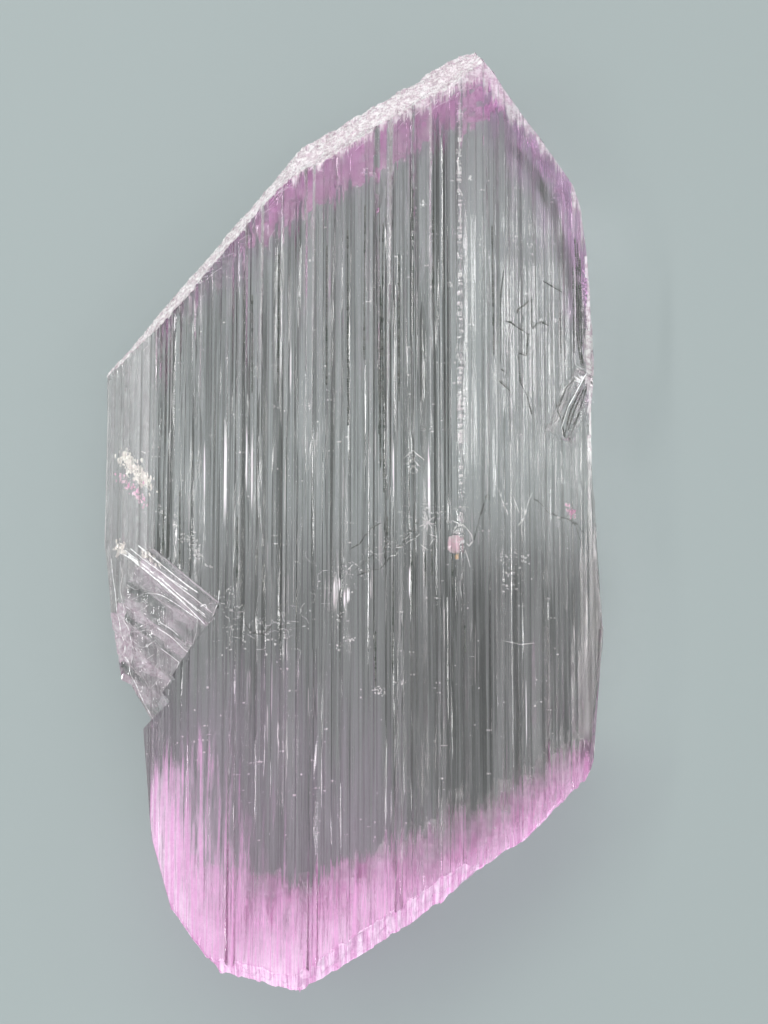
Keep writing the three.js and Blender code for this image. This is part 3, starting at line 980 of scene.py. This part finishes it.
        veil = smooth_noise(middle @ CHIP_TURN, (6.0, 0.7, 1.2), 27) + 0.5 * smooth_noise(middle, 2.0, 32)
        frost(kinds["chip"], 0.14 + 0.3 * veil)
        ragged = beyond(middle, *CHIP_LEFT) > -1.2 - 0.6 * smooth_noise(middle, 0.8, 31)
        frost(kinds["chip"] & ragged & (y > -19), 0.4)
        growth = 0.17 + 0.14 * smooth_noise(middle, (0.35, 40.0, 0.35), 33)
        frost(kinds["prism"], np.where(y < -20, 0.05, growth))
        break_face = kinds["side"] & (x > 24) & (y < -15) & (normals[:, 2] > 0.2)
        frost(break_face, 0.22 + 0.2 * smooth_noise(middle, (1.5, 4.0, 2.0), 28))
        # Painted highlight: a pale strip on the front along the right-hand edge stands for its bright rim.
        wander = 0.5 * smooth_noise(middle, (9, 1.6, 9), 29)
        frost(kinds["front"] & (x > 28.9 + wander) & (y > 6) & (y < 31), 0.55)

        # Pink streaks on the foot and the break face; on the front and the left-hand face near the foot they
        # are painted glow.
        pink = kinds["foot"] | break_face | ((kinds["front"] | kinds["prism"]) & (y < -20))
        streaked = np.where(kinds["rim"], 1.0, pink)
        streaked[kinds["chip"]] = 0.3
        beside = middle @ CHIP_TURN[:, 0] > -4.3
        new_attribute(mesh, "white", "FACE", white.clip(0, 1))
        new_attribute(mesh, "cleaved", "FACE", 0.4 * (kinds["wall"] & ~beside))
        new_attribute(mesh, "streaked", "FACE", streaked)


# ---- What is sealed in the crystal ---------------------------------------------------------------


def front_height(x):
    """Height of the crystal's front over X, in mm: the front face, and the two that fall away beside it."""
    return THICKNESS - 0.25 - 0.404 * np.maximum(x - RIDGE_X, 0) - 0.949 * np.maximum(-23.4 - x, 0)


def rough_grain(rng):
    """A small uneven grain, 2 mm across, to be copied and scaled."""
    deselect_all()
    bpy.ops.mesh.primitive_ico_sphere_add(subdivisions=1, radius=MM)
    grain = bpy.context.object
    set_points(grain.data, points_of(grain.data) * rng.uniform(0.65, 1.0, (len(grain.data.vertices), 1)))
    return grain


def thin_needle():
    """A five-sided needle, pointed at both ends, 2 mm long along Z and 2 mm thick, to copy and scale."""
    deselect_all()
    bpy.ops.mesh.primitive_cylinder_add(vertices=5, radius=MM, depth=MM, end_fill_type="NGON")
    needle = bpy.context.object
    for side in (1, -1):
        ends = [side * face.normal.z > 0.9 for face in needle.data.polygons]
        needle.data.vertices.foreach_set("select", [False] * len(needle.data.vertices))
        needle.data.edges.foreach_set("select", [False] * len(needle.data.edges))
        needle.data.polygons.foreach_set("select", ends)
        bpy.context.tool_settings.mesh_select_mode = (False, False, True)
        bpy.ops.object.mode_set(mode="EDIT")
        bpy.ops.mesh.extrude_region_move(TRANSFORM_OT_translate={"value": (0, 0, side * 0.5 * MM)})
        bpy.ops.transform.resize(value=(0.08, 0.08, 1))
        bpy.ops.object.mode_set(mode="OBJECT")
    return needle


def thin_flake(rng):
    """A flat, uneven plate 2 mm wide and 1 mm thick along Z, to be copied and scaled."""
    deselect_all()
    bpy.ops.mesh.primitive_cylinder_add(vertices=7, radius=MM, depth=MM, end_fill_type="NGON")
    flake = bpy.context.object
    points = points_of(flake.data)
    reach = rng.uniform(0.45, 1.0, 7)
    side = np.round(np.arctan2(points[:, 1], points[:, 0]) / (2 * math.pi / 7)).astype(int) % 7
    points[:, :2] *= reach[side][:, None]
    set_points(flake.data, points)
    return flake


def scattered(name, pattern, places, along, sizes, material):
    """One piece, a copy of the pattern at each place, its Z turned along a direction and scaled, in mm."""
    base = points_of(pattern.data)
    faces = [list(face.vertices) for face in pattern.data.polygons]
    bpy.data.objects.remove(pattern)
    along = along / np.linalg.norm(along, axis=1, keepdims=True)
    across = np.cross(along, (0.35, 0.2, 1.0))
    across /= np.linalg.norm(across, axis=1, keepdims=True)
    third = np.cross(along, across)
    frames = np.stack([across, third, along], axis=2) * sizes[:, None, :]
    points = np.einsum("nij,kj->nki", frames, base) + places[:, None, :]
    mesh = bpy.data.meshes.new(name)
    every = [[index + n * len(base) for index in face] for n in range(len(places)) for face in faces]
    mesh.from_pydata((points.reshape(-1, 3) * MM).tolist(), [], every)
    mesh.materials.append(material)
    piece = bpy.data.objects.new(name, mesh)
    bpy.context.collection.objects.link(piece)
    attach(piece, "root")
    return piece


def trails(rng, count, start, heading, wander, steps, stride):
    """Middles, directions and half lengths of the pieces of jagged lines in a healed fracture."""
    places, directions, halves = [], [], []
    for _ in range(count):
        at = np.array(start(rng))
        angle = heading + rng.normal(0, 0.6)
        for _ in range(rng.integers(*steps)):
            angle += rng.normal(0, wander)
            way = np.array([math.cos(angle), math.sin(angle), 0.25 * rng.normal()])
            reach = stride * rng.uniform(0.4, 1.6)
            if rng.random() < 0.85:
                places.append(at + way * reach / 2)
                directions.append(way)
                halves.append(reach / 2)
            at += way * reach
    return np.array(places), np.array(directions), np.array(halves)


def under_front(lines, depth):
    """Points of lines of X and Y, at one depth under the front."""
    rows = [np.array(line) for line in lines]
    return [np.column_stack([row, front_height(row[:, 0]) - depth]) for row in rows]


def blade_heights(context, places):
    """Height of the blade's uneven upper side over each X and Y, in mm, and 0 beside the blade."""
    blade = bpy.data.objects["kunzite_blade"]
    graph = context.evaluated_depsgraph_get()
    rays = (blade.ray_cast(Vector((x, y, 50)) * MM, Vector((0, 0, -1)), depsgraph=graph) for x, y in places)
    return np.array([place.z / MM if hit else 0.0 for hit, place, _, _ in rays])


def laid_on_blade(context, lines, depth):
    """Points of lines of X and Y laid along the blade's uneven upper side, at one depth under it."""
    laid = []
    for line in lines:
        row = np.array(line)
        run = np.insert(np.cumsum(np.hypot(*np.diff(row, axis=0).T)), 0, 0)
        at = np.linspace(0, run[-1], 2 + int(run[-1] / 0.6))
        places = np.column_stack([np.interp(at, run, row[:, 0]), np.interp(at, run, row[:, 1])])
        heights = blade_heights(context, places) - depth
        laid.append(np.column_stack([places, heights])[heights > 0])
    return laid


def pieces_of_lines(lines):
    """Middles, directions and half lengths of the pieces of lines, and which line each belongs to.

    Pieces that climb a wall of the chip are left out.
    """
    steps = np.vstack([np.diff(line, axis=0) for line in lines])
    middles = np.vstack([(line[1:] + line[:-1]) / 2 for line in lines])
    owner = np.repeat(np.arange(len(lines)), [len(line) - 1 for line in lines])
    gentle = np.abs(steps[:, 2]) < 1.5 * np.hypot(steps[:, 0], steps[:, 1])
    return middles[gentle], steps[gentle], np.linalg.norm(steps[gentle], axis=1) / 2, owner[gentle]


def scatter_sizes(rng, count, low, high, stretch=1.0):
    size = rng.uniform(low, high, count)
    return np.column_stack([size, size * rng.uniform(0.5, 1.0, count), size * stretch])


class KUNZITE_OT_specks(bpy.types.Operator):
    """Strew pale grains under the front face and along the ridge, where they are painted highlights for its
    sparkle
    """

    bl_idname = "kunzite.specks"
    bl_label = "Specks"

    def execute(self, context):
        rng = np.random.default_rng(31)
        count = context.scene.kunzite_inclusions.specks
        x, y = rng.uniform(-24, 26, count), rng.uniform(-40, 40, count)
        z = blade_heights(context, np.column_stack([x, y])) - 0.4 - rng.uniform(0, 1, len(x)) ** 2 * 5
        keep = (y < 40 + 0.8 * x) & (z > 8)
        x, y, z = x[keep], y[keep], z[keep]
        # Painted highlights: pale grains along the ridge's crest stand for its sparkle.
        ridge_y = rng.uniform(-6, 50, 150)
        ridge_x = 12.9 + rng.normal(0, 0.13, 150)
        ridge = np.column_stack([ridge_x, ridge_y, 15.95 + rng.uniform(-0.1, 0.1, 150)])
        places = np.vstack([np.column_stack([x, y, z]), ridge])
        sizes = scatter_sizes(rng, len(places), 0.04, 0.15, 1.4)
        sizes[-150:] *= rng.uniform(0.8, 2.2, (150, 1))
        along = rng.normal(0, 1, (len(places), 3)) * (0.4, 1, 0.4)
        material = inclusion_material("pale_grains", (0.95, 0.93, 0.94), (0.86, 0.80, 0.84), 0.15)
        scattered("specks", rough_grain(rng), places, along, sizes, material)
        return {"FINISHED"}


def along_path(rng, path, spread):
    """A point at random along a path, and up to about spread away from it, in mm."""
    steps = np.diff(path, axis=0)
    lengths = np.hypot(*steps.T)
    index = rng.choice(len(steps), p=lengths / lengths.sum())
    return path[index] + steps[index] * rng.random() + rng.normal(0, spread, 2)


class KUNZITE_OT_fracture(bpy.types.Operator):
    """Trace the healed fracture that crosses the middle, as trails of fine inclusions and bright flakes"""

    bl_idname = "kunzite.fracture"
    bl_label = "Healed fracture"

    def execute(self, context):
        rng = np.random.default_rng(32)
        count = context.scene.kunzite_inclusions.trails

        def start(rng):
            x, y = along_path(rng, FRACTURE, 0.9)
            return x, y, 13.6 - 0.12 * (y + 8) + rng.uniform(-1.2, 0.8)

        places, along, half = trails(rng, count, start, 0.6, 0.7, (3, 9), 0.5)
        places[:, 2] = np.minimum(places[:, 2], front_height(places[:, 0]) - 0.5)
        wide = rng.uniform(0.012, 0.034, len(places))
        material = inclusion_material("healed_fracture", (0.98, 0.98, 0.98), (0.93, 0.90, 0.92), 0.1)
        sizes = np.column_stack([wide, wide, half * 1.1])
        scattered("healed_fracture", thin_needle(), places, along, sizes, material)

        spots = [start(rng) for _ in range(70)]
        for x, y, across, along, turn, flakes in FEATHERS:
            for _ in range(flakes):
                a, b = rng.normal(0, across), rng.uniform(-along, along)
                aside = x + a * math.cos(turn) - b * math.sin(turn)
                further = y + a * math.sin(turn) + b * math.cos(turn)
                spots.append((aside, further, front_height(aside) - rng.uniform(0.35, 0.8)))
        spots = np.array(spots)
        tilt = rng.normal(0, 0.45, (len(spots), 3)) + (0, 0, 1)
        wide = rng.uniform(0.08, 0.27, len(spots))
        sizes = np.column_stack([wide, wide * rng.uniform(0.25, 0.7, len(spots)), np.full(len(spots), 0.05)])
        scattered("fracture_flakes", thin_flake(rng), spots, tilt, sizes, material)
        return {"FINISHED"}


def drooping_hairs(rng, count):
    """Fine curved lines of X and Y that hang from the etched termination."""
    lines = []
    for _ in range(count):
        at = along_path(rng, HAIRY_EDGE, 0.9)
        angle, turn = rng.normal(-2.75, 0.2), rng.normal(0.09, 0.05)
        line = [at]
        for _ in range(rng.integers(3, 8)):
            angle += turn
            at = at + 0.5 * np.array([math.cos(angle), math.sin(angle)])
            line.append(at)
        lines.append(line)
    return lines


class KUNZITE_OT_cracks(bpy.types.Operator):
    """Draw the few sharp cracks right of the middle, dark and bright, and the chevrons beside the star, with
    the dark ones and the dark hill edges as painted shade and pale lines on the chip's steps as painted
    highlights
    """

    bl_idname = "kunzite.cracks"
    bl_label = "Cracks"

    def execute(self, context):
        rng = np.random.default_rng(35)
        # Painted shade: these dark colours make the dark cracks and the dark hill edges.
        dark = ((0.06, 0.07, 0.06), (0.14, 0.14, 0.13))
        pale = ((0.98, 0.98, 0.98), (0.95, 0.93, 0.94))
        hairs = laid_on_blade(context, drooping_hairs(rng, 70), 0.03)
        hills = laid_on_blade(context, SHADED_HILL_EDGES, 0.03)
        # Painted highlights: pale lines along the edges of the chip's steps, standing for their glints.
        chip_glint_lines = laid_on_blade(context, [row[1:] for row in CHIP_GLINTS], 0.03)
        chip_glint_widths = [row[0] for row in CHIP_GLINTS]
        for name, lines, wide, colours in (
            ("hanging_hairs", hairs, 0.02, pale),
            ("shaded_cracks", under_front(SHADED_CRACKS, 1.0), 0.07, dark),
            ("bright_cracks", under_front(BRIGHT_CRACKS, 0.4), 0.06, pale),
            ("shaded_hill_edges", hills, 0.1, dark),
            ("chip_glints", chip_glint_lines, chip_glint_widths, pale),
        ):
            middles, steps, half, owner = pieces_of_lines(lines)
            widths = np.broadcast_to(wide, len(lines))[owner] * rng.uniform(0.6, 1.4, len(half))
            sizes = np.column_stack([widths, widths, half * 1.3])
            scattered(name, thin_needle(), middles, steps, sizes, inclusion_material(name, *colours, 0.2))
        return {"FINISHED"}


class KUNZITE_OT_patch(bpy.types.Operator):
    """Set the cream and pink flaws near the left edge, above the chip"""

    bl_idname = "kunzite.patch"
    bl_label = "Cream and pink flaws"

    def execute(self, context):
        rng = np.random.default_rng(36)
        for name, spots, colours in FLAWS:
            places = []
            for x, y, along, aside, count in spots:
                a, b = rng.normal(0, along, count), rng.normal(0, aside, count)
                places.append(np.column_stack([x + 0.62 * a + 0.78 * b, y - 0.78 * a + 0.62 * b]))
            places = np.vstack(places)
            places = places[places[:, 0] > -29.2]
            deep = blade_heights(context, places) - rng.uniform(0.1, 0.5, len(places))
            wide = rng.uniform(0.10, 0.42, len(places))
            narrow = wide * rng.uniform(0.3, 0.8, len(places))
            sizes = np.column_stack([wide, narrow, np.full(len(places), 0.04)])
            tilt = rng.normal(0, 0.35, (len(places), 3)) + (-0.5, 0, 1)
            where = np.column_stack([places, deep])
            scattered(name, thin_flake(rng), where, tilt, sizes, inclusion_material(name, *colours, 0.2))
        return {"FINISHED"}


class KUNZITE_OT_guest(bpy.types.Operator):
    """Set the pale pink guest crystal and the small star of needles beside it"""

    bl_idname = "kunzite.guest"
    bl_label = "Guest crystal"

    def execute(self, context):
        rng = np.random.default_rng(34)
        deselect_all()
        bpy.ops.mesh.primitive_cube_add(size=MM, location=(0, 0, 0))
        guest = context.object
        guest.name = guest.data.name = "guest_crystal"
        bpy.ops.object.mode_set(mode="EDIT")
        bpy.ops.transform.resize(value=(1.5, 2.1, 1.0))
        bpy.ops.mesh.bevel(offset=0.25 * MM, segments=1)
        bpy.ops.mesh.subdivide(number_cuts=3)
        bpy.ops.transform.rotate(value=math.radians(8), orient_axis="Z", center_override=(0, 0, 0))
        bpy.ops.transform.translate(value=(12.2 * MM, -5.2 * MM, 15.6 * MM))
        bpy.ops.object.mode_set(mode="OBJECT")
        points = points_of(guest.data)
        for axis in range(3):
            points[:, axis] += 0.16 * smooth_noise(points, 0.5, 40 + axis)
        set_points(guest.data, points)
        material = inclusion_material("guest_crystal", (0.99, 0.91, 0.93), (0.95, 0.66, 0.76), 0.25)
        guest.data.materials.append(material)
        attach(guest, "root")

        rays = 11
        angle = np.linspace(0, 2 * math.pi, rays, endpoint=False) + rng.uniform(-0.2, 0.2, rays)
        along = np.column_stack([np.cos(angle), np.sin(angle), rng.normal(0, 0.3, rays)])
        long = rng.uniform(0.3, 0.85, rays)
        places = np.array([9.0, -2.6, 15.8]) + along * long[:, None] * 0.8
        sizes = np.column_stack([np.full(rays, 0.055), np.full(rays, 0.055), long])
        material = inclusion_material("star", (0.98, 0.97, 0.98), (0.93, 0.88, 0.92), 0.15)
        scattered("needle_star", thin_needle(), places, along, sizes, material)
        return {"FINISHED"}


class KUNZITE_OT_tubes(bpy.types.Operator):
    """Set growth tubes in the crystal, along its length, and pale bars just under the front that are painted
    highlights for glints on the striations
    """

    bl_idname = "kunzite.tubes"
    bl_label = "Growth tubes"

    def execute(self, context):
        rng = np.random.default_rng(33)
        count = context.scene.kunzite_inclusions.needles
        x = rng.uniform(-22, 25, count)
        y = rng.uniform(-30, 20 + 0.6 * np.minimum(x, 10), count)
        places = np.column_stack([x, y, rng.uniform(8, 14.5, count)])
        long = rng.uniform(1.0, 4.5, count)
        wide = rng.uniform(0.02, 0.05, count)
        # Painted highlights: pale bars just under the front, standing for glints on the striations.
        bars = np.repeat(np.array(GLINT_BARS), 8, axis=0)
        bars[:, 0] += bars[:, 3] * rng.normal(0, 0.6, len(bars))
        bars[:, 1] += bars[:, 2] * rng.uniform(-0.2, 0.2, len(bars))
        bars[:, 2] *= rng.uniform(0.6, 1.1, len(bars))
        bars[:, 3] *= rng.uniform(0.15, 0.35, len(bars))
        places = np.vstack([places, np.column_stack([bars[:, :2], front_height(bars[:, 0]) - 0.05])])
        long, wide = np.append(long, bars[:, 2]), np.append(wide, bars[:, 3])
        sizes = np.column_stack([wide, wide, long])
        aside = [rng.normal(0, 0.004, len(places)) for _ in range(2)]
        along = np.column_stack([aside[0], np.ones(len(places)), aside[1]])
        material = inclusion_material("tubes_and_glints", (0.97, 0.93, 0.95), (0.92, 0.82, 0.88), 0.2)
        scattered("tubes_and_glints", thin_needle(), places, along, sizes, material)
        return {"FINISHED"}


# ---- The stage -----------------------------------------------------------------------------------


def area_light(name, place, aim, size, power, colour=(1, 1, 1)):
    data = bpy.data.lights.new(name, "AREA")
    data.shape = "RECTANGLE"
    data.size, data.size_y = size
    data.energy = power
    data.color = colour
    light = bpy.data.objects.new(name, data)
    light.location = place
    light.rotation_euler = (Vector(aim) - Vector(place)).to_track_quat("-Z", "Y").to_euler()
    bpy.context.collection.objects.link(light)
    return light


class KUNZITE_OT_stage(bpy.types.Operator):
    """Lay the floor and set the lights and the camera"""

    bl_idname = "kunzite.stage"
    bl_label = "Stage"

    def execute(self, context):
        sizes = context.scene.kunzite_stage
        deselect_all()
        bpy.ops.mesh.primitive_plane_add(size=30, location=(0, 0, -0.0003))
        floor = context.object
        floor.name = "floor"
        bpy.ops.object.transform_apply(location=True, rotation=True, scale=True)
        material = new_material("floor")
        graph = Graph(material.node_tree)
        shader = graph.add("ShaderNodeBsdfPrincipled", None, Base_Color=sizes.floor_colour, Roughness=0.8)
        graph.add("ShaderNodeOutputMaterial", None, Surface=shader.outputs["BSDF"])
        floor.data.materials.append(material)

        world = bpy.data.worlds.new("studio")
        context.scene.world = world
        world.use_nodes = True
        graph = Graph(world.node_tree)
        around = graph.add("ShaderNodeTexCoord").outputs["Generated"]
        upward = graph.add("ShaderNodeSeparateXYZ", None, Vector=around).outputs["Z"]
        glow = graph.blend(graph.ramp(upward, 0.0, 0.9), sizes.horizon, sizes.zenith)
        graph.feed(world.node_tree.nodes["Background"], "Color", glow)

        area_light("far_softbox", (-0.25, 1.25, 0.95), (0, 0, 0), (1.5, 1.0), 13.0)
        area_light("near_softbox", (-0.10, -1.25, 0.45), (0, 0, 0), (1.5, 0.7), 9.0)
        area_light("left_strip", (-1.00, 0.10, 0.85), (0, 0, 0), (0.9, 0.08), 5.0)
        area_light("left_card", (-1.10, 0.05, 0.15), (0, 0, 0.01), (0.6, 0.26), 1.4)
        area_light("right_softbox", (1.00, 0.30, 0.88), (0, 0, 0), (0.22, 0.12), 0.75)

        data = bpy.data.cameras.new("camera")
        data.lens = sizes.lens
        data.sensor_width = 36
        camera = bpy.data.objects.new("camera", data)
        camera.location = (0.003785, -0.021503, 0.207769)
        camera.rotation_euler = (math.radians(6), 0, 0)
        context.collection.objects.link(camera)
        context.scene.camera = camera
        context.scene.view_settings.view_transform = "Standard"
        context.scene.cycles.max_bounces = 14
        context.scene.cycles.transmission_bounces = 14
        context.scene.cycles.glossy_bounces = 8
        context.scene.cycles.caustics_refractive = True
        context.scene.cycles.caustics_reflective = False
        return {"FINISHED"}


# ---- Panel and registration ----------------------------------------------------------------------


class KUNZITE_PT_panel(bpy.types.Panel):
    """The crystal's sizes and the steps that make it"""

    bl_label = "Kunzite"
    bl_idname = "KUNZITE_PT_panel"
    bl_space_type = "VIEW_3D"
    bl_region_type = "UI"
    bl_category = "Kunzite"

    def draw(self, context):
        scene = context.scene
        for group in (scene.kunzite_blade, scene.kunzite_inclusions, scene.kunzite_stage):
            for name in group.__annotations__:
                self.layout.prop(group, name)
        for operator in STEPS:
            self.layout.operator(operator.bl_idname)


STEPS = (
    KUNZITE_OT_blade,
    KUNZITE_OT_specks,
    KUNZITE_OT_fracture,
    KUNZITE_OT_cracks,
    KUNZITE_OT_patch,
    KUNZITE_OT_guest,
    KUNZITE_OT_tubes,
    KUNZITE_OT_stage,
)
CLASSES = (KunziteBladeSizes, KunziteInclusionSizes, KunziteStageSizes, *STEPS, KUNZITE_PT_panel)


def register():
    for cls in CLASSES:
        bpy.utils.register_class(cls)
    bpy.types.Scene.kunzite_blade = bpy.props.PointerProperty(type=KunziteBladeSizes)
    bpy.types.Scene.kunzite_inclusions = bpy.props.PointerProperty(type=KunziteInclusionSizes)
    bpy.types.Scene.kunzite_stage = bpy.props.PointerProperty(type=KunziteStageSizes)


def unregister():
    del bpy.types.Scene.kunzite_stage
    del bpy.types.Scene.kunzite_inclusions
    del bpy.types.Scene.kunzite_blade
    for cls in reversed(CLASSES):
        bpy.utils.unregister_class(cls)


def main():
    register()
    bpy.ops.kunzite.blade()
    bpy.ops.kunzite.specks()
    bpy.ops.kunzite.fracture()
    bpy.ops.kunzite.cracks()
    bpy.ops.kunzite.patch()
    bpy.ops.kunzite.guest()
    bpy.ops.kunzite.tubes()
    bpy.ops.kunzite.stage()


if __name__ == "__main__":
    main()
